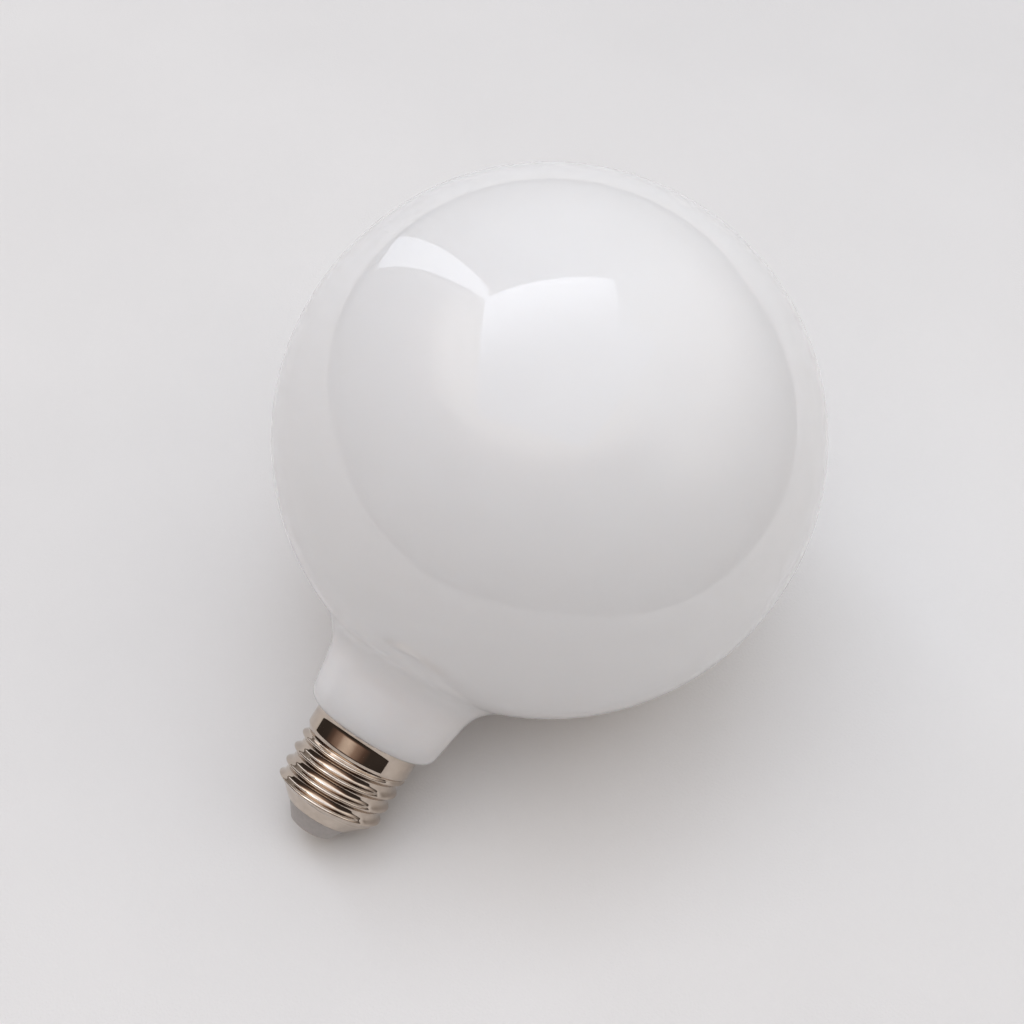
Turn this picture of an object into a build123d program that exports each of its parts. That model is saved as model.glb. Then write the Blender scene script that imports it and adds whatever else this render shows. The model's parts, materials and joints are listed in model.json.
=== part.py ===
# Opal globe LED bulb with an E27 screw cap, lying as it comes to rest on a flat surface.
# It is built along its own axis, with the globe's centre at 0 and the cap towards +Z, and is
# then laid down: the globe and the edge of the cap touch z = 0, and the cap is at +X.
import math
import os

from build123d import *

# Glass globe and neck
globe_radius = 62.5
neck_fillet = 12.0          # concave sweep from the globe into the neck
neck_radius = 18.1          # neck just below the sweep
neck_length = 12.7
shoulder_radius = 16.1      # neck at the cap, before its edge is rounded
shoulder_share = 0.82       # how much of the glass face at the cap its rounded edge takes up
seat_reach = 15.2           # the cap's lip sits this far beyond the sphere

# Glass inside the cap
cement_thickness = 0.65     # room for cement between the glass and the band
stub_length = 4.4
stub_chamfer = 0.8
stem_mouth_radius = 8.4     # mouth of the sealed stem
stem_floor_radius = 6.2
stem_depth = 7.0
exhaust_tip_radius = 2.2
exhaust_tip_length = 5.5
exhaust_tip_chamfer = 1.3   # where the tube was melted shut

# Screw shell, rolled from thin sheet
wall = 0.3
band_radius = 13.15
lip_radius = 13.7
lip_height = 1.4
band_length = 4.9           # lip to the end of the plain band
runout_length = 2.0         # the groove deepens to the thread's root over this length
thread_pitch = 3.629
crest_radius = 13.1
root_radius = 11.95
crest_land = 0.4            # width of the flat on the crest
bevel_land = 0.96           # width of the ridge where the bevels beside the crest start
bevel_share = 0.83          # and how much of the thread's depth they stand at
ridge_foot = 2.3            # width of the ridge at the root
thread_angle = 304.5        # where the crest stands at the end of the plain band
thread_overlap = 1.0        # the thread starts this far inside the band
fade_slope = 1.9            # the last crest loses this much radius for each mm of its end
shell_length = 22.3         # lip to the shell's open end
shell_end_radius = 8.4
cone_angle = 45.0
cone_lead = 0.2             # the thread runs on this far past the foot of the end cone

# Insulator
fit_clearance = 0.05
insulator_length = 4.1      # height of its cone beyond the shell
insulator_end_radius = 5.1
insulator_round = 0.6
flange_drop = 0.5           # its flange starts this far into the end cone
pocket_radius = 4.6
pocket_floor = 2.6          # thickness under the pocket

# Centre contact
contact_radius = 4.3
contact_height = 0.3
contact_chamfer = 0.12
shank_radius = 1.25
shank_tail = 1.6            # the shank stands this far into the pocket

# Cement ring
cement_length = 2.0         # below the lip's flare

# Driver board and what it carries
board_width = 16.0
board_length = 12.6
board_thickness = 1.0
board_offset = 0.8          # the board's middle plane lies beside the axis
column_share = 0.25         # parts stand in two columns, this share of the width from the middle
capacitor_radius = 3.15
capacitor_length = 9.0
capacitor_chamfer = 0.4
capacitor_groove = 0.4      # depth of the groove rolled in above the seal
choke_radius = 2.6
choke_waist = 1.8
choke_height = 4.4
choke_flange = 0.8
rectifier_size = (4.7, 1.5, 3.9)
chip_size = (3.9, 1.4, 4.9)
package_chamfer = 0.3
package_spacing = 5.7       # along the board, between the two rows on its far side
fuse_radius = 1.1
fuse_length = 5.5
fuse_chamfer = 0.35
sense_size = (3.2, 0.6, 1.6)
feed_radius = 0.3
feed_side = 4.3
live_radius = 0.35
neutral_radius = 0.4
neutral_height = 7.0        # above the flange

# Places along the axis, and radii that follow from the sizes above
cone_slope = math.tan(math.radians(cone_angle))
seat_position = globe_radius + seat_reach
band_end = seat_position + band_length
shell_end = seat_position + shell_length
cone_start = shell_end - (root_radius - shell_end_radius) / cone_slope
thread_end = cone_start + cone_lead
cone_wall = wall / math.cos(math.radians(cone_angle))
stub_radius = band_radius - wall - cement_thickness
shoulder_round = shoulder_share * (shoulder_radius - stub_radius)
stub_end = seat_position + stub_length
stem_floor = stub_end - stem_depth
flange_top = cone_start + flange_drop
insulator_end = shell_end + insulator_length
pocket_end = insulator_end - pocket_floor
shank_end = pocket_end - shank_tail
tip = insulator_end + contact_height
board_top = flange_top - board_length
board_middle = flange_top - board_length / 2
right_column = column_share * board_width
left_column = -right_column
near_face = board_offset - board_thickness / 2
far_face = board_offset + board_thickness / 2
standing = (Align.CENTER, Align.CENTER, Align.MIN)


# Outlines have the radius across and the axis upwards, and are turned round the axis.
def turned(outline):
    return revolve(Plane.XZ * outline, axis=Axis.Z)


def rounded(outline, corners, radius):
    picked = [outline.vertices().sort_by_distance(Vector(*corner, 0))[0] for corner in corners]
    return fillet(picked, radius)


def bevelled(outline, corner, size):
    return chamfer(outline.vertices().sort_by_distance(Vector(*corner, 0))[0], size)


def rod(radius, start, end):
    span = Vector(*end) - Vector(*start)
    return Plane(Vector(*start), z_dir=span) * Cylinder(radius, span.length, align=standing)


# One blown envelope, closed inside the cap by its stem with the sealed exhaust tip
def make_glass_bulb():
    taper = (shoulder_radius - neck_radius) / neck_length
    axis_radius = shoulder_radius - taper * seat_position
    reach = math.sqrt(globe_radius**2 * (1 + taper**2) - axis_radius**2)
    meet_position = (reach - taper * axis_radius) / (1 + taper**2)
    meet_radius = axis_radius + taper * meet_position
    meet_angle = math.degrees(math.atan2(meet_position, meet_radius))
    far_end = (0, -globe_radius)
    globe = CenterArc((0, 0), globe_radius, -90, 90 + meet_angle)
    exhaust_end = stem_floor + exhaust_tip_length
    neck = Polyline(
        (meet_radius, meet_position),
        (shoulder_radius, seat_position),
        (stub_radius, seat_position),
        (stub_radius, stub_end),
        (stem_mouth_radius, stub_end),
        (stem_floor_radius, stem_floor),
        (exhaust_tip_radius, stem_floor),
        (exhaust_tip_radius, exhaust_end),
        (0, exhaust_end),
        far_end,
    )
    outline = make_face(globe + neck)
    outline = rounded(outline, [(meet_radius, meet_position)], neck_fillet)
    outline = rounded(outline, [(shoulder_radius, seat_position)], shoulder_round)
    outline = bevelled(outline, (stub_radius, stub_end), stub_chamfer)
    outline = bevelled(outline, (exhaust_tip_radius, exhaust_end), exhaust_tip_chamfer)
    return turned(outline)


def helix(radius, height):
    return Edge.make_helix(thread_pitch, thread_pitch, radius, center=(0, 0, height))


# Threaded core that starts a turn inside the band: ruled strips wind round it, a set for each turn,
# and a flat step and a spiral face close each end
def make_thread(inset):
    root = root_radius - inset
    depth = crest_radius - root_radius
    bottom = band_end - thread_overlap - thread_pitch
    first_crest = bottom + thread_pitch - ridge_foot / 2
    ridge = [
        (root, bottom),
        (root, first_crest - ridge_foot / 2),
        (root + bevel_share * depth, first_crest - bevel_land / 2),
        (root + depth, first_crest - crest_land / 2),
        (root + depth, first_crest + crest_land / 2),
        (root + bevel_share * depth, first_crest + bevel_land / 2),
        (root, bottom + thread_pitch),
    ]
    turns = math.ceil((shell_end - bottom) / thread_pitch) + 1
    faces = []
    for rise in [turn * thread_pitch for turn in range(turns)]:
        edges = [helix(radius, height + rise) for radius, height in ridge]
        faces += [Face.make_surface_from_curves(*pair) for pair in zip(edges, edges[1:])]
    for rise in (0, turns * thread_pitch):
        middle = [(0, bottom + rise), (0, bottom + rise + thread_pitch)]
        step = [middle[0]] + [(radius, height + rise) for radius, height in ridge] + [middle[1]]
        faces.append((Plane.XZ * make_face(Polyline(*step, close=True))).face())
        axis = Edge.make_line(*[(0, 0, height) for _, height in middle])
        faces.append(Face.make_surface_from_curves(axis, helix(root, bottom + rise)))
    turned_on = 360 * (first_crest - band_end) / thread_pitch
    return Rot(0, 0, thread_angle + turned_on) * Solid(Shell(faces))


# The thread cut to length: its last crest ends steeply at the foot of the end cone
def thread_form(inset):
    start = band_end - 2 * thread_overlap
    root = root_radius - inset
    outside = 2 * band_radius
    end_radius = shell_end_radius - inset / math.cos(math.radians(cone_angle))
    cone_reach = end_radius + cone_slope * shell_end
    foot = (root + fade_slope * thread_end - cone_reach) / (fade_slope - cone_slope)
    limit = Polyline(
        (0, start),
        (outside, start),
        (outside, thread_end - (outside - root) / fade_slope),
        (cone_reach - cone_slope * foot, foot),
        (end_radius, shell_end),
        (0, shell_end),
        close=True,
    )
    return turned(make_face(limit)) & make_thread(inset)


# Outside of the shell's sheet at inset 0, and its inside at inset wall
def shell_form(inset):
    band = band_radius - inset
    lip = lip_radius - inset
    runout_slope = (band_radius - root_radius) / runout_length
    head = Polyline(
        (lip, seat_position),
        (0, seat_position),
        (0, band_end + 2 * runout_length),
        (band - 2 * runout_length * runout_slope, band_end + 2 * runout_length),
        (band, band_end),
        (band, seat_position + lip_height),
        close=True,
    )
    return turned(make_face(head)) + thread_form(inset)


def make_cement():
    start = seat_position + lip_height
    ring = Cylinder(band_radius - wall, cement_length, align=standing)
    ring -= Cylinder(stub_radius, cement_length, align=standing)
    return Pos(0, 0, start) * ring


# Moulded cone with a flange that fills the shell's end cone, and a pocket round the contact's shank
def make_insulator():
    throat_radius = shell_end_radius - cone_wall - fit_clearance
    flange_radius = root_radius - flange_drop * cone_slope - cone_wall - fit_clearance
    outline = make_face(Polyline(
        (shank_radius + fit_clearance, insulator_end),
        (insulator_end_radius, insulator_end),
        (throat_radius, shell_end),
        (flange_radius, flange_top),
        (pocket_radius, flange_top),
        (pocket_radius, pocket_end),
        (shank_radius + fit_clearance, pocket_end),
        (shank_radius + fit_clearance, insulator_end),
    ))
    return turned(rounded(outline, [(insulator_end_radius, insulator_end)], insulator_round))


def make_contact():
    outline = make_face(Polyline(
        (0, shank_end),
        (shank_radius, shank_end),
        (shank_radius, insulator_end),
        (contact_radius, insulator_end),
        (contact_radius, tip),
        (0, tip),
        (0, shank_end),
    ))
    return turned(bevelled(outline, (contact_radius, tip), contact_chamfer))


def make_board():
    return Pos(0, board_offset, board_middle) * Box(board_width, board_thickness, board_length)


# Can with a groove rolled in above its seal, lying along the board
def make_capacitor():
    top = capacitor_length / 2
    groove = top - 3 * capacitor_groove
    outline = make_face(Polyline(
        (0, -top),
        (capacitor_radius - capacitor_chamfer, -top),
        (capacitor_radius, capacitor_chamfer - top),
        (capacitor_radius, groove - capacitor_groove),
        (capacitor_radius - capacitor_groove, groove),
        (capacitor_radius, groove + capacitor_groove),
        (capacitor_radius, top - capacitor_chamfer),
        (capacitor_radius - capacitor_chamfer, top),
        (0, top),
        close=True,
    ))
    return Pos(left_column, near_face - capacitor_radius, board_middle) * turned(outline)


# Wound drum: two flanges and the coil between them
def make_choke():
    flange = Cylinder(choke_radius, choke_flange)
    lift = (choke_height - choke_flange) / 2
    drum = Cylinder(choke_waist, choke_height) + Pos(0, 0, lift) * flange + Pos(0, 0, -lift) * flange
    return Pos(right_column, near_face - choke_height / 2, board_middle) * Rot(90, 0, 0) * drum


# Flat package on the far side of the board, with its feet down both long sides
def make_package(size, side, height):
    body = Box(*size)
    return Pos(side, far_face + size[1] / 2, height) * chamfer(body.edges() | Axis.Y, package_chamfer)


def make_fuse():
    body = Cylinder(fuse_radius, fuse_length)
    body = chamfer(body.edges().filter_by(GeomType.CIRCLE), fuse_chamfer)
    height = flange_top - fuse_length / 2 - fuse_radius
    return Pos(left_column, far_face + fuse_radius, height) * body


def make_parts():
    cavity = shell_form(wall)
    neutral_start = (board_width / 2, board_offset, flange_top - neutral_height)
    neutral_end = (2 * band_radius, board_offset, flange_top - neutral_height)
    upper = board_middle - package_spacing / 2
    lower = board_middle + package_spacing / 2
    feed_ends = [(side, board_offset) for side in (-feed_side, feed_side)]
    feeds = [rod(feed_radius, (*place, stem_floor), (*place, board_top)) for place in feed_ends]
    return {
        "glass_bulb": make_glass_bulb(),
        "screw_shell": shell_form(0) - cavity,
        "capping_cement": make_cement(),
        "insulator": make_insulator(),
        "centre_contact": make_contact(),
        "driver_board": make_board(),
        "smoothing_capacitor": make_capacitor(),
        "choke": make_choke(),
        "bridge_rectifier": make_package(rectifier_size, left_column, upper),
        "driver_chip": make_package(chip_size, right_column, upper),
        "sense_resistor": make_package(sense_size, right_column, lower),
        "fuse_resistor": make_fuse(),
        "feed_lead_1": feeds[0],
        "feed_lead_2": feeds[1],
        "live_lead": rod(live_radius, (0, board_offset, flange_top), (0, board_offset, shank_end)),
        "neutral_lead": rod(neutral_radius, neutral_start, neutral_end) & cavity,
    }


# Angle of the axis below the horizontal when the globe and the first edge of the cap touch down
def dip_angle():
    crest_end = thread_end - (crest_radius - root_radius) / fade_slope
    turns = (crest_end - band_end) / thread_pitch + thread_angle / 360
    last_crest = band_end + thread_pitch * (math.floor(turns) - thread_angle / 360)
    edges = [
        (lip_radius, seat_position),
        (crest_radius, last_crest),
        (root_radius, thread_end),
        (shell_end_radius, shell_end),
        (insulator_end_radius, insulator_end),
        (contact_radius, tip),
    ]
    return min(math.asin(globe_radius / math.hypot(*edge)) - math.atan2(*edge) for edge in edges)


def main():
    parts = make_parts()
    dip = math.degrees(dip_angle())
    laid = {name: Rot(0, 90 + dip, 0) * part for name, part in parts.items()}
    left = laid["glass_bulb"].bounding_box().min.X
    right = laid["centre_contact"].bounding_box().max.X
    move = Pos(-(left + right) / 2, 0, globe_radius)
    os.makedirs("parts", exist_ok=True)
    for name, part in laid.items():
        export_step(move * part, f"parts/{name}.step")
    print(f"dip {dip:.3f} degrees, globe centre at x {-(left + right) / 2:.3f}")


main()
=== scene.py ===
import json
import math

import bmesh
import bpy
from mathutils import Matrix, Vector


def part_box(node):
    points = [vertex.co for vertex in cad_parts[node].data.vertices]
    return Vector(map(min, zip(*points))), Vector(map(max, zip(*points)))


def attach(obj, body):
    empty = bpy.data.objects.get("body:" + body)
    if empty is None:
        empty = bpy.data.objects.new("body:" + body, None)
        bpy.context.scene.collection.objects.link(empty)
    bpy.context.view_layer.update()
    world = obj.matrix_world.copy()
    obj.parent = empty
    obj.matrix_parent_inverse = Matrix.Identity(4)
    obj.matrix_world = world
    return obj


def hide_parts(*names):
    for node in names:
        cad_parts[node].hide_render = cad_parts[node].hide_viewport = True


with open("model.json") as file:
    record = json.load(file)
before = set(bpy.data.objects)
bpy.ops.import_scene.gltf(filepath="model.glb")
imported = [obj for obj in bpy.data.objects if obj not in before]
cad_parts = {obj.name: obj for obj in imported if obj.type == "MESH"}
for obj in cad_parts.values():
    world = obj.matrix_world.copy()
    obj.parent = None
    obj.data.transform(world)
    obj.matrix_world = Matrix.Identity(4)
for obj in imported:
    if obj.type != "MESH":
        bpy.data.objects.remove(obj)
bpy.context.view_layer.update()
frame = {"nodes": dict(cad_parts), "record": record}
mm = 0.001

# The bulb lies on its globe and on the edge of its cap. Its own frame has the globe's centre at 0
# and the cap towards +Z, and the sizes of its pieces are given there, in millimetres.
bulb = {
    "globeRadius": 62.5,
    "dip": 32.876,            # degrees that the axis points below the horizontal
    "mergeDistance": 0.002,   # points nearer than this become one
}
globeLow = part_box("glass_bulb")[0]
globeCentre = Vector((globeLow[0] + bulb["globeRadius"] * mm, 0, bulb["globeRadius"] * mm))
layDown = Matrix.Translation(globeCentre) @ Matrix.Rotation(math.radians(90 + bulb["dip"]), 4, "Y")


def linear(hexColour):
    levels = [int(hexColour[i:i + 2], 16) / 255 for i in (1, 3, 5)]
    return [v / 12.92 if v <= 0.04045 else ((v + 0.055) / 1.055) ** 2.4 for v in levels] + [1]


# An input is a value or the socket that feeds it, and stops are a ramp's places and colours
def addNode(tree, kind, inputs=None, stops=(), **settings):
    node = tree.nodes.new("ShaderNode" + kind)
    for name, value in settings.items():
        setattr(node, name, value)
    for name, value in (inputs or {}).items():
        if isinstance(value, bpy.types.NodeSocket):
            tree.links.new(value, node.inputs[name])
        else:
            node.inputs[name].default_value = value
    for number, (position, hexColour) in enumerate(stops):
        elements = node.color_ramp.elements
        stop = elements[number] if number < 2 else elements.new(position)
        stop.position = position
        stop.color = linear(hexColour)
    return node


def emptyMaterial(name):
    material = bpy.data.materials.new(name)
    material.use_nodes = True
    material.node_tree.nodes.clear()
    return material, material.node_tree


# A pattern on the bulb lies in the bulb's own frame, in millimetres, with Z along its axis
def bulbMaterial(name):
    material, tree = emptyMaterial(name)
    place = addNode(tree, "Mapping", {
        "Vector": addNode(tree, "TexCoord").outputs["Object"],
        "Location": globeCentre,
        "Rotation": layDown.to_euler(),
        "Scale": (mm, mm, mm),
    }, vector_type="TEXTURE")
    return material, tree, place.outputs["Vector"]


# Most of a noise texture's values lie between these
noiseLow, noiseHigh = 0.35, 0.65

# Opal glass, blown and fire polished. It is white all through, so light spreads in it and its shade
# side stays pale, and the flame leaves a clear, sharp gloss with only a faint long ripple. Sizes in
# this and the next materials are in millimetres.
opal = {
    "milk": "#F8F7F8",
    "thinMilk": "#F5F3F3",
    "patch": 45,              # across a place where the white is thinner
    "patchDetail": 2,
    "ripple": 30,
    "rippleDetail": 1,
    "rippleDepth": 0.008,
    "roughness": 0.015,
    "ior": 1.5,
    "spread": (1, 0.95, 0.92),
    "globeSpread": 350,       # light crosses the hollow globe from wall to wall
    "neckSpread": 22,         # and stays short in the neck, which the cap closes
    "globeEnd": 54,           # along the axis, where one spread starts to give way to the other
    "neckStart": 64,
}


def makeOpalGlass():
    material, tree, place = bulbMaterial("Opal glass, blown")
    patches = addNode(tree, "TexNoise", {
        "Vector": place, "Scale": 1 / opal["patch"], "Detail": opal["patchDetail"]})
    milk = addNode(tree, "ValToRGB", {"Fac": patches.outputs["Fac"]}, (
        (noiseLow, opal["thinMilk"]), (noiseHigh, opal["milk"])))
    ripple = addNode(tree, "TexNoise", {
        "Vector": place, "Scale": 1 / opal["ripple"], "Detail": opal["rippleDetail"]})
    wavy = addNode(tree, "Bump", {
        "Height": ripple.outputs["Fac"], "Distance": opal["rippleDepth"] * mm, "Strength": 1})
    along = addNode(tree, "SeparateXYZ", {"Vector": place})
    reach = addNode(tree, "MapRange", {
        "Value": along.outputs["Z"], "From Min": opal["globeEnd"], "From Max": opal["neckStart"],
        "To Min": opal["globeSpread"] * mm, "To Max": opal["neckSpread"] * mm})
    shader = addNode(tree, "BsdfPrincipled", {
        "Base Color": milk.outputs["Color"],
        "Roughness": opal["roughness"],
        "IOR": opal["ior"],
        "Normal": wavy.outputs["Normal"],
        "Subsurface Weight": 1,
        "Subsurface Radius": opal["spread"],
        "Subsurface Scale": reach.outputs["Result"],
    })
    addNode(tree, "OutputMaterial", {"Surface": shader.outputs["BSDF"]})
    return material


# Nickel plate on rolled sheet: a warm mirror, a little duller in places, with a very fine grain
nickel = {
    "bright": "#CCBFB2",
    "dull": "#C0B3A6",
    "stain": 3.0,             # across a duller place
    "stainDetail": 3,
    "grain": 0.8,
    "grainDetail": 2,
    "grainDepth": 0.0003,
    "roughness": 0.06,
    "roughnessRange": 0.03,
}


def makeNickel():
    material, tree, place = bulbMaterial("Nickel plate, rolled")
    stain = addNode(tree, "TexNoise", {
        "Vector": place, "Scale": 1 / nickel["stain"], "Detail": nickel["stainDetail"]})
    tone = addNode(tree, "ValToRGB", {"Fac": stain.outputs["Fac"]}, (
        (noiseLow, nickel["dull"]), (noiseHigh, nickel["bright"])))
    grain = addNode(tree, "TexNoise", {
        "Vector": place, "Scale": 1 / nickel["grain"], "Detail": nickel["grainDetail"]})
    bump = addNode(tree, "Bump", {
        "Height": grain.outputs["Fac"], "Distance": nickel["grainDepth"] * mm, "Strength": 1})
    rough = addNode(tree, "MapRange", {
        "Value": stain.outputs["Fac"],
        "To Min": nickel["roughness"] - nickel["roughnessRange"],
        "To Max": nickel["roughness"] + nickel["roughnessRange"],
    })
    shader = addNode(tree, "BsdfPrincipled", {
        "Base Color": tone.outputs["Color"],
        "Metallic": 1,
        "Roughness": rough.outputs["Result"],
        "Normal": bump.outputs["Normal"],
    })
    addNode(tree, "OutputMaterial", {"Surface": shader.outputs["BSDF"]})
    return material


# The other finishes. A moulded, cured or baked one has a fine even grain, a printed or shrunk
# one is smoother and shinier, and tinned wire is a soft mirror.
grainDetail = 4
plasticIor = 1.45
metalIor = 1.5                # the shader's own
finishes = {
    "grey_plastic": {"name": "Thermoset plastic, moulded", "dark": "#A9A4A1", "light": "#B0ABA8",
                     "grain": 0.9, "depth": 0.012, "roughness": 0.4},
    "cement": {"name": "Capping cement, cured", "dark": "#C9C2B2", "light": "#DAD5C8",
               "grain": 0.5, "depth": 0.05, "roughness": 0.9},
    "circuit_board": {"name": "Solder mask on laminate, printed", "dark": "#D3D2C6",
                      "light": "#DEDDD3", "grain": 1.2, "depth": 0.006, "roughness": 0.35},
    "black_package": {"name": "Epoxy package, moulded", "dark": "#1B1B1D", "light": "#252527",
                      "grain": 0.25, "depth": 0.006, "roughness": 0.55},
    "can_sleeve": {"name": "Polymer sleeve, shrunk", "dark": "#17181D", "light": "#1E1F25",
                   "grain": 1.5, "depth": 0.004, "roughness": 0.25},
    "resistor_body": {"name": "Resistor coating, baked", "dark": "#6E8F7D", "light": "#7B9B8A",
                      "grain": 0.3, "depth": 0.012, "roughness": 0.6},
    "lead_wire": {"name": "Copper wire, tinned", "dark": "#B9B4AC", "light": "#C8C4BD",
                  "grain": 0.4, "depth": 0.003, "roughness": 0.3, "metallic": 1, "ior": metalIor},
}


def makeFinish(finish):
    material, tree, place = bulbMaterial(finish["name"])
    grain = addNode(tree, "TexNoise", {
        "Vector": place, "Scale": 1 / finish["grain"], "Detail": grainDetail})
    tone = addNode(tree, "ValToRGB", {"Fac": grain.outputs["Fac"]}, (
        (noiseLow, finish["dark"]), (noiseHigh, finish["light"])))
    bump = addNode(tree, "Bump", {
        "Height": grain.outputs["Fac"], "Distance": finish["depth"] * mm, "Strength": 1})
    shader = addNode(tree, "BsdfPrincipled", {
        "Base Color": tone.outputs["Color"],
        "Metallic": finish.get("metallic", 0),
        "Roughness": finish["roughness"],
        "IOR": finish.get("ior", plasticIor),
        "Normal": bump.outputs["Normal"],
    })
    addNode(tree, "OutputMaterial", {"Surface": shader.outputs["BSDF"]})
    return material


# Enamelled copper wire, wound: round copper turns, with painted shade as dark lines in the grooves
# where they meet
winding = {
    # painted shade: the dark colour of the grooves between round turns, which is not a colour of
    # the wire
    "paintedGrooveShade": "#4E2A14",
    "copper": "#B26A3A",
    "toneRange": (0.1, 0.6),  # of the wave's height, from gap to copper
    "turn": 0.25,             # from one turn to the next
    "waveLength": 0.3,        # about what the wave texture repeats at, at scale 1
    "depth": 0.06,
    "roughness": 0.3,
}


def makeWinding():
    material, tree, place = bulbMaterial("Enamelled copper wire, wound")
    turns = addNode(tree, "TexWave", {
        "Vector": place, "Scale": winding["waveLength"] / winding["turn"]}, bands_direction="Y")
    # the ramp paints shade into the grooves between turns, darkest where the wave is low
    tone = addNode(tree, "ValToRGB", {"Fac": turns.outputs["Fac"]}, (
        (winding["toneRange"][0], winding["paintedGrooveShade"]), (winding["toneRange"][1], winding["copper"])))
    bump = addNode(tree, "Bump", {
        "Height": turns.outputs["Fac"], "Distance": winding["depth"] * mm, "Strength": 1})
    shader = addNode(tree, "BsdfPrincipled", {
        "Base Color": tone.outputs["Color"],
        "Metallic": 1,
        "Roughness": winding["roughness"],
        "Normal": bump.outputs["Normal"],
    })
    addNode(tree, "OutputMaterial", {"Surface": shader.outputs["BSDF"]})
    return material


materials = {slot: makeFinish(finish) for slot, finish in finishes.items()}
materials["opal_glass"] = makeOpalGlass()
materials["nickel_plate"] = makeNickel()
materials["winding"] = makeWinding()
for part in frame["record"]["subparts"]:
    node = frame["nodes"][part["node"]]
    node.data.materials.clear()
    node.data.materials.append(materials[part["material_slot"]])
print("materials:", len(materials))


def finishPiece(bm, name, slot, nodes):
    bmesh.ops.remove_doubles(bm, verts=bm.verts, dist=bulb["mergeDistance"])
    bmesh.ops.recalc_face_normals(bm, faces=bm.faces)
    bmesh.ops.transform(bm, matrix=layDown @ Matrix.Diagonal((mm, mm, mm, 1)), verts=bm.verts)
    for face in bm.faces:
        face.smooth = True
    mesh = bpy.data.meshes.new(name)
    bm.to_mesh(mesh)
    bm.free()
    mesh.materials.append(materials[slot])
    piece = bpy.data.objects.new(name, mesh)
    bpy.context.scene.collection.objects.link(piece)
    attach(piece, "root")
    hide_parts(*nodes)
    print(name, "faces:", len(mesh.polygons))
    return piece


# Blown envelope: a globe that sweeps into the neck, whose rounded edge sits on the cap
glass = {
    "sweep": 12.0,            # radius of the hollow curve between globe and neck
    "neckRadius": 18.1,
    "neckLength": 12.7,
    "shoulderRadius": 16.1,
    "shoulderRound": 3.2,
    "seat": 77.7,
    "stub": ((12.2, 77.7), (12.2, 81.3), (11.4, 82.1), (0, 82.1)),   # its end, inside the cap
    "globeSteps": 110,
    "sweepSteps": 24,
    "shoulderSteps": 12,
    "turnSteps": 240,
}


# Turns the last vertex of an outline about a centre, as an arc of edges, and gives the new last one
def sweepArc(bm, last, centre, angle, steps):
    middle = Vector((centre[0], 0, centre[1]))
    made = bmesh.ops.spin(
        bm, geom=[last], cent=middle, axis=(0, 1, 0), angle=-angle, steps=steps, use_merge=False)
    return made["geom_last"][0]


def lineTo(bm, last, point):
    vertex = bmesh.ops.extrude_vert_indiv(bm, verts=[last])["verts"][0]
    vertex.co = Vector((point[0], 0, point[1]))
    return vertex


def makeGlass():
    radius = bulb["globeRadius"]
    taper = (glass["shoulderRadius"] - glass["neckRadius"]) / glass["neckLength"]
    lean = math.atan(-taper)                 # the neck's side faces this far above level
    sideReach = (glass["shoulderRadius"] - taper * glass["seat"]) * math.cos(lean)
    away = sideReach + glass["sweep"]
    along = math.sqrt((radius + glass["sweep"]) ** 2 - away ** 2)
    sweepCentre = (away * math.cos(lean) - along * math.sin(lean),
                   away * math.sin(lean) + along * math.cos(lean))
    sweepAngle = math.atan2(sweepCentre[1], sweepCentre[0])
    edge = glass["shoulderRound"]
    edgeHeight = glass["seat"] - edge
    edgeCentre = ((sideReach - edge - math.sin(lean) * edgeHeight) / math.cos(lean), edgeHeight)
    edgeStart = (edgeCentre[0] + edge * math.cos(lean), edgeCentre[1] + edge * math.sin(lean))
    bm = bmesh.new()
    last = bm.verts.new((0, 0, -radius))
    last = sweepArc(bm, last, (0, 0), math.pi / 2 + sweepAngle, glass["globeSteps"])
    last = sweepArc(bm, last, sweepCentre, lean - sweepAngle, glass["sweepSteps"])
    last = lineTo(bm, last, edgeStart)
    last = sweepArc(bm, last, edgeCentre, math.pi / 2 - lean, glass["shoulderSteps"])
    for point in glass["stub"]:
        last = lineTo(bm, last, point)
    bmesh.ops.spin(bm, geom=bm.verts[:] + bm.edges[:], cent=(0, 0, 0), axis=(0, 0, 1),
                   angle=2 * math.pi, steps=glass["turnSteps"], use_merge=True)
    finishPiece(bm, "globe_glass", "opal_glass", ["glass_bulb"])


# Rolled cap: a plain band, a round thread that rises out of it and fades, and a cone at the end
cap = {
    "start": 77.7,
    "length": 22.3,
    "bandRadius": 13.15,
    "lipFlare": 0.55,
    "lipHeight": 1.4,
    "bandEnd": 82.6,
    "plainLength": 3.9,       # of the band, before the thread can touch it
    "runout": 0.6,            # slope at which the band dives under the thread
    "runoutEnd": 86.6,
    "root": 11.95,
    "crest": 13.1,
    "pitch": 3.629,
    "sharpness": 2.0,         # 1 is a sine wave, more is a narrower crest
    "threadAngle": 304.5,
    "threadEnd": 96.65,
    "fadeSlope": 1.9,
    "endRadius": 8.4,
    "soften": 0.25,           # the corner under the last crest is rounded over this much
    "crease": 0.05,           # and the sharper ones over this much
    "wall": 0.3,
    "columns": 200,
    "rowsPerTurn": 28,
}


# The larger of two, with the corner where they cross rounded over a width
def softMax(a, b, width):
    near = max(width - abs(a - b), 0) / width
    return max(a, b) + near * near * width / 4


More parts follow.
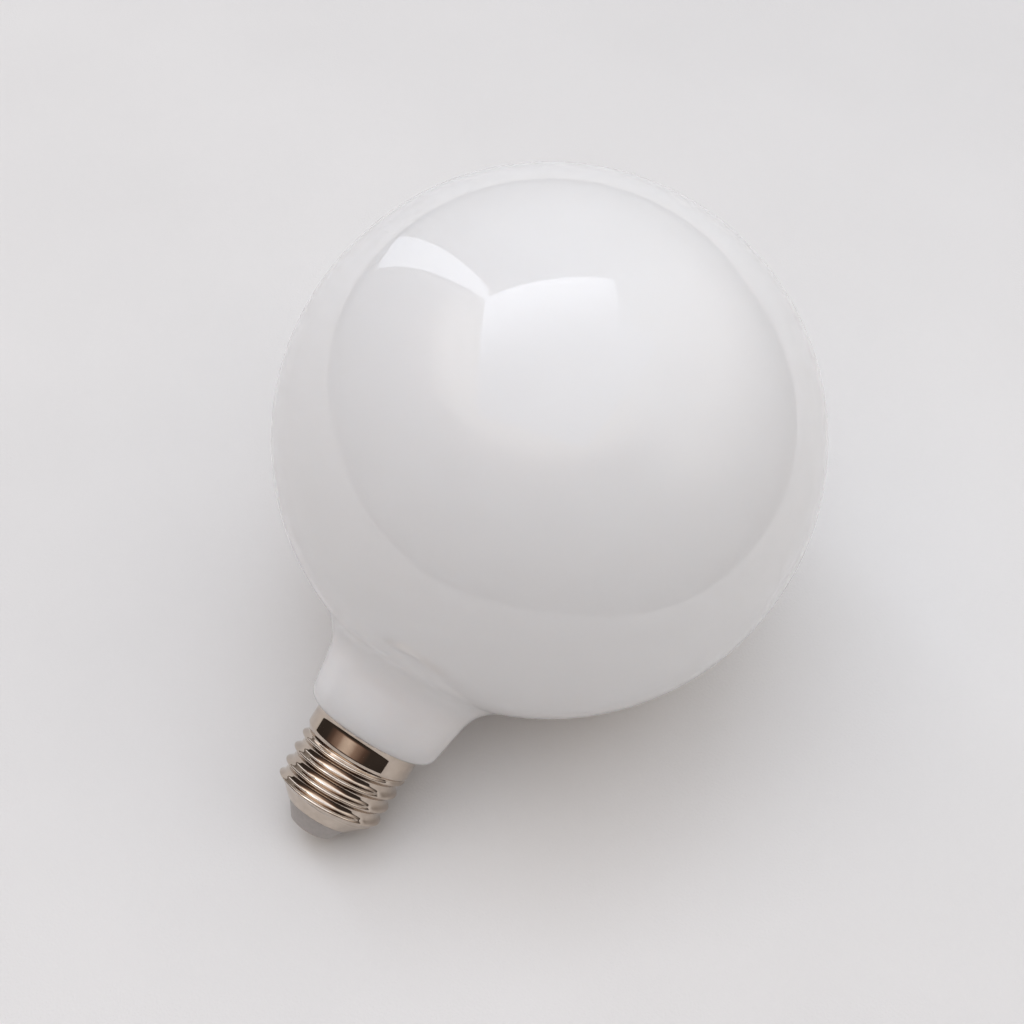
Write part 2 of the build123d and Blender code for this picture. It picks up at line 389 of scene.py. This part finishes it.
def capRadius(angle, height):
    head = cap["bandRadius"]
    if height < cap["start"] + cap["lipHeight"]:
        head += cap["lipFlare"] * (1 - (height - cap["start"]) / cap["lipHeight"]) ** 2
    if height < cap["start"] + cap["plainLength"]:
        return head
    head -= max(height - cap["bandEnd"], 0) * cap["runout"]
    climb = 2 * math.pi * (height - cap["bandEnd"]) / cap["pitch"]
    turn = angle - math.radians(cap["threadAngle"]) - climb
    rise = ((1 + math.cos(turn)) / 2) ** cap["sharpness"]
    thread = cap["root"] + (cap["crest"] - cap["root"]) * rise
    fade = cap["root"] + cap["fadeSlope"] * (cap["threadEnd"] - height)
    cone = cap["endRadius"] + cap["start"] + cap["length"] - height
    thread = -softMax(-thread, -softMax(fade, cone, cap["crease"]), cap["soften"])
    return softMax(thread, head, cap["crease"]) if height < cap["runoutEnd"] else thread


# The rows of the grid climb with the thread, one pitch in a turn, and both ends are then cut flat
def makeCap():
    rowHeight = cap["pitch"] / cap["rowsPerTurn"]
    spareRows = cap["rowsPerTurn"] + 2
    rows = spareRows + math.ceil(cap["length"] / rowHeight)
    low = cap["start"] - cap["pitch"] - rowHeight
    bm = bmesh.new()
    bmesh.ops.create_grid(bm, x_segments=cap["columns"], y_segments=rows, size=0.5)
    for vertex in bm.verts:
        turn = vertex.co.x + 0.5
        angle = 2 * math.pi * turn
        height = low + cap["pitch"] * turn + rows * rowHeight * (vertex.co.y + 0.5)
        radius = capRadius(angle, height)
        vertex.co = (radius * math.cos(angle), radius * math.sin(angle), height)
    for height, facing in ((cap["start"], -1), (cap["start"] + cap["length"], 1)):
        bmesh.ops.bisect_plane(bm, geom=bm.verts[:] + bm.edges[:] + bm.faces[:],
                               plane_co=(0, 0, height), plane_no=(0, 0, facing), clear_outer=True)
    piece = finishPiece(bm, "rolled_cap", "nickel_plate", ["screw_shell"])
    sheet = piece.modifiers.new("sheet", "SOLIDIFY")
    sheet.thickness = cap["wall"] * mm
    sheet.offset = -1


makeGlass()
makeCap()


def stageFace(name, corners, material):
    bm = bmesh.new()
    bm.faces.new([bm.verts.new(corner) for corner in corners])
    mesh = bpy.data.meshes.new(name)
    bm.to_mesh(mesh)
    bm.free()
    mesh.materials.append(material)
    card = bpy.data.objects.new(name, mesh)
    bpy.context.scene.collection.objects.link(card)


# White board under the bulb, in metres. It ends close to the bulb on two sides, and the globe
# mirrors its edge and the dim room beyond.
board = {
    "corners": ((-3.0, 0.21), (0.23, 0.2), (1.6, -1.9), (1.6, -3.0), (-3.0, -3.0)),
    "white": "#DDDCDB",
    "offWhite": "#D9D8D7",
    "toneRange": (0.3, 0.7),  # of the noise, from off-white to white
    "blotch": 0.09,
    "blotchDetail": 3,
    "speck": 0.0006,
    "speckDetail": 2,
    "speckDepth": 0.00015,
    "speckStrength": 0.5,
    "roughness": 0.6,
}


# Matt paint, rolled on board: an even white with a faint tooth
def makeBoardPaint():
    material, tree = emptyMaterial("Board, matt painted")
    place = addNode(tree, "TexCoord").outputs["Object"]
    blotch = addNode(tree, "TexNoise", {
        "Vector": place, "Scale": 1 / board["blotch"], "Detail": board["blotchDetail"]})
    tone = addNode(tree, "ValToRGB", {"Fac": blotch.outputs["Fac"]}, (
        (board["toneRange"][0], board["offWhite"]), (board["toneRange"][1], board["white"])))
    speck = addNode(tree, "TexNoise", {
        "Vector": place, "Scale": 1 / board["speck"], "Detail": board["speckDetail"]})
    bump = addNode(tree, "Bump", {
        "Height": speck.outputs["Fac"],
        "Distance": board["speckDepth"],
        "Strength": board["speckStrength"],
    })
    shader = addNode(tree, "BsdfPrincipled", {
        "Base Color": tone.outputs["Color"],
        "Roughness": board["roughness"],
        "Normal": bump.outputs["Normal"],
    })
    addNode(tree, "OutputMaterial", {"Surface": shader.outputs["BSDF"]})
    return material


stageFace("board", [(x, y, 0) for x, y in board["corners"]], makeBoardPaint())

# Light comes from a lit corner of the ceiling and from a tall window strip beside it, both behind
# the bulb. Each fades with distance from its glow point, from one strength to the other.
lightColour = "#F2F6FF"
ceiling = {
    "corners": ((-0.09, -0.89), (0.4, -0.6), (1.2, -0.2), (0.75, 1.2), (-0.93, 0.84),
                (-0.72, 0.32), (-1.11, -0.05)),
    "height": 1.6,
    "glowPoint": (-1.9, -3.3, 1.6),
    "strength": 4.3,
    "edgeStrength": 1.6,
    "fadeStart": 3.0,
    "fadeEnd": 4.0,
}
window = {
    "azimuths": (-111.5, -100.9, -92.4, -102),
    "elevations": (1.8, 6, 62, 57.6),
    "reach": 1.8,             # metres from the globe's centre to each corner
    "glowCorner": 2,          # an upper one
    "strength": 3.5,
    "edgeStrength": 1.5,
    "fadeStart": 0.3,
    "fadeEnd": 1.9,
}


def makeGlow(name, light, glowPoint):
    material, tree = emptyMaterial(name)
    place = addNode(tree, "TexCoord").outputs["Object"]
    reach = addNode(tree, "VectorMath", {0: place, 1: glowPoint}, operation="DISTANCE")
    level = addNode(tree, "MapRange", {
        "Value": reach.outputs["Value"],
        "From Min": light["fadeStart"],
        "From Max": light["fadeEnd"],
        "To Min": light["strength"],
        "To Max": light["edgeStrength"],
    }, interpolation_type="SMOOTHSTEP")
    glow = addNode(tree, "Emission", {
        "Color": linear(lightColour), "Strength": level.outputs["Result"]})
    addNode(tree, "OutputMaterial", {"Surface": glow.outputs["Emission"]})
    return material


ceilingCorners = [(x, y, ceiling["height"]) for x, y in ceiling["corners"]]
stageFace("ceiling_light", ceilingCorners, makeGlow("Ceiling, lit", ceiling, ceiling["glowPoint"]))
windowCorners = []
for azimuth, elevation in zip(window["azimuths"], window["elevations"]):
    bearing, climb = math.radians(azimuth), math.radians(elevation)
    windowCorners.append(globeCentre + window["reach"] * Vector((
        math.cos(climb) * math.cos(bearing), math.cos(climb) * math.sin(bearing), math.sin(climb))))
stageFace("window_light", windowCorners, makeGlow(
    "Window, curtained", window, windowCorners[window["glowCorner"]]))

# The room is bright overhead and dim below, most of all in front, where the bulb is seen from.
# Each stop is a height, from 0 straight down over 0.5 at the horizon to 1 straight up, and the
# colour there. The turns are where one side gives way to the next, along X and along Y.
room = {
    "front": ((0, "#2B2725"), (0.71, "#2E2926"), (0.77, "#4A3B34"), (0.83, "#7C6A60"),
              (0.89, "#FFF4E8")),
    "left": ((0, "#2B2725"), (0.49, "#2E2926"), (0.53, "#706B68"), (0.75, "#807E7B"),
             (0.92, "#8E9196")),
    "right": ((0, "#2B2725"), (0.49, "#3A3431"), (0.6, "#968F8A"), (0.72, "#D4CFCA"),
              (0.92, "#D8D8D8")),
    "frontTurn": (-0.25, 0.2),
    "rightTurn": (-0.3, 0.3),
    "strength": 1.8,
}


def makeRoom():
    world = bpy.data.worlds.new("room")
    world.use_nodes = True
    tree = world.node_tree
    direction = addNode(tree, "SeparateXYZ", {
        "Vector": addNode(tree, "TexCoord").outputs["Generated"]}).outputs
    climb = addNode(tree, "MapRange", {"Value": direction["Z"], "From Min": -1, "From Max": 1})
    colours = {}
    for side in ("front", "left", "right"):
        ramp = addNode(tree, "ValToRGB", {"Fac": climb.outputs["Result"]}, room[side])
        colours[side] = ramp.outputs["Color"]
    toRight = addNode(tree, "MapRange", {
        "Value": direction["Y"],
        "From Min": room["rightTurn"][0],
        "From Max": room["rightTurn"][1],
    }, interpolation_type="SMOOTHSTEP")
    behind = addNode(tree, "MixRGB", {
        "Fac": toRight.outputs["Result"], "Color1": colours["left"], "Color2": colours["right"]})
    toFront = addNode(tree, "MapRange", {
        "Value": direction["X"],
        "From Min": room["frontTurn"][0],
        "From Max": room["frontTurn"][1],
    }, interpolation_type="SMOOTHSTEP")
    around = addNode(tree, "MixRGB", {
        "Fac": toFront.outputs["Result"],
        "Color1": behind.outputs["Color"],
        "Color2": colours["front"],
    })
    background = tree.nodes["Background"]
    tree.links.new(around.outputs["Color"], background.inputs["Color"])
    background.inputs["Strength"].default_value = room["strength"]
    bpy.context.scene.world = world


makeRoom()
print("stage and light set")

# The photograph's view, in metres, and its field of view as a lens
view = {
    "place": (0.170064, 0.137436, 0.345596),
    "target": (0.001412, 0.001519, 0.053067),
    "lens": 56.25,
    "sensor": 36,
    "clipStart": 0.01,
}
cameraData = bpy.data.cameras.new("view")
cameraData.lens = view["lens"]
cameraData.sensor_width = view["sensor"]
cameraData.clip_start = view["clipStart"]
camera = bpy.data.objects.new("view", cameraData)
camera.location = view["place"]
looking = Vector(view["target"]) - camera.location
camera.rotation_euler = looking.to_track_quat("-Z", "Y").to_euler()
bpy.context.scene.collection.objects.link(camera)
bpy.context.scene.camera = camera
bpy.context.scene.view_settings.view_transform = "Standard"
print("camera set")
